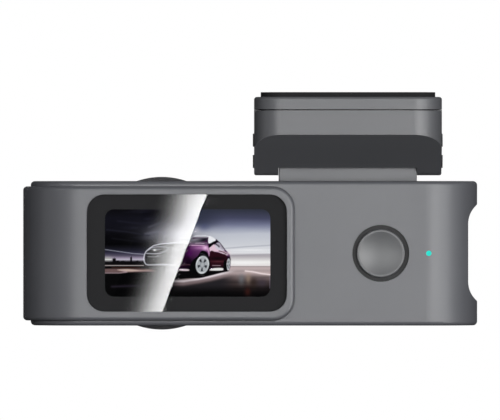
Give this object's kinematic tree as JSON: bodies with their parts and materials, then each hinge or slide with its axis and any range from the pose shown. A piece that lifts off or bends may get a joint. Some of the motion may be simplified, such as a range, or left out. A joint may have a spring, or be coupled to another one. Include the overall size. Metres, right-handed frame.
{
  "type": "dash camera",
  "caption": "Bar-shaped dash camera with rear screen, round button and big lens ring, hung by a tilting quick-release mount from an adhesive pad.",
  "frame": {"origin": "centre of the adhesive pad's top face, where it meets the windshield", "axes": "+Z out of the pad into the windshield (up), +X along the camera bar to the port end, +Y to the road on the lens side; the screen faces -Y"},
  "size_m": [0.1002, 0.0385, 0.0524],
  "materials": {
    "housing_plastic": "fine moulded texture, dark grey",
    "mount_plastic": "fine moulded texture, dark grey",
    "pad_foam": "black acrylic foam adhesive",
    "cap_plastic": "satin, knurled edge",
    "steel": "turned",
    "screw_steel": "black zinc",
    "nylon": "natural nylon",
    "cover_glass": "polished, black printed border",
    "black_film": "black film",
    "panel": "polarised display panel",
    "tray_metal": "stamped",
    "flex_film": "amber film",
    "circuit_board": "green solder mask",
    "chip": "moulded epoxy",
    "sensor": "coated sensor window",
    "lens_black": "matte black",
    "lens_glass": "coated",
    "bezel_metal": "dark anodised",
    "silicone": "soft blue-grey pad",
    "heat_sink_metal": "extruded",
    "socket_metal": "nickel plated",
    "card_plastic": "moulded card",
    "capacitor_sleeve": "heat-shrink sleeve",
    "speaker_metal": "steel can",
    "ring_plastic": "gloss dark ring",
    "button_plastic": "fine moulded texture, dark grey",
    "light_plastic": "clear light guide, lit cyan",
    "led_body": "resin"
  },
  "bodies": {
    "mount_base": {"adhesive_pad": "pad_foam", "mount_plate": "mount_plastic"},
    "bracket": {"hinge_block": "mount_plastic", "hinge_pin": "steel", "hinge_cap_left": "cap_plastic", "hinge_cap_right": "cap_plastic", "friction_washers": "nylon"},
    "camera": {"hinge_tongue": "mount_plastic", "tongue_screws": "screw_steel", "cabin_shell": "housing_plastic", "road_shell": "housing_plastic", "shell_screws": "screw_steel", "screen_cover": "housing_plastic", "screen_glass": "cover_glass", "lcd_frame": "black_film", "lcd_panel": "panel", "backlight_tray": "tray_metal", "display_flex": "flex_film", "sensor_board": "circuit_board", "image_sensor": "sensor", "sensor_flex": "flex_film", "lens_holder": "lens_black", "holder_screws": "screw_steel", "lens_barrel": "bezel_metal", "rear_lens_element": "lens_glass", "front_lens_element": "lens_glass", "lens_bezel": "bezel_metal", "lens_baffle": "lens_black", "main_board": "circuit_board", "board_screws": "screw_steel", "processor": "chip", "memory_chip": "chip", "thermal_pad": "silicone", "heat_sink": "heat_sink_metal", "microsd_socket": "socket_metal", "usb_c_receptacle": "socket_metal", "supercapacitor_upper": "capacitor_sleeve", "supercapacitor_lower": "capacitor_sleeve", "speaker": "speaker_metal", "microphone": "socket_metal", "button_ring": "ring_plastic", "tact_switch": "chip", "button_board": "circuit_board", "button_flex": "flex_film", "status_led": "led_body", "light_pipe": "light_plastic"},
    "button": {"button_cap": "button_plastic", "switch_plunger": "nylon"},
    "card": {"memory_card": "card_plastic"}
  },
  "joints": [
    {"name": "bracket_release", "type": "slide", "parent": "mount_base", "child": "bracket", "axis": [0, -1, 0], "range_m": [0, 0.022]},
    {"name": "camera_tilt", "type": "hinge", "parent": "bracket", "child": "camera", "pos_m": [0, 0.003, -0.01285], "axis": [1, 0, 0], "range_deg": [-20, 50]},
    {"name": "button_press", "type": "slide", "parent": "camera", "child": "button", "axis": [0, 1, 0], "range_m": [0, 0.0006], "stiffness_N_per_m": 400, "springref_m": -0.002},
    {"name": "card_slide", "type": "slide", "parent": "camera", "child": "card", "axis": [1, 0, 0], "range_m": [0, 0.017]}
  ]
}
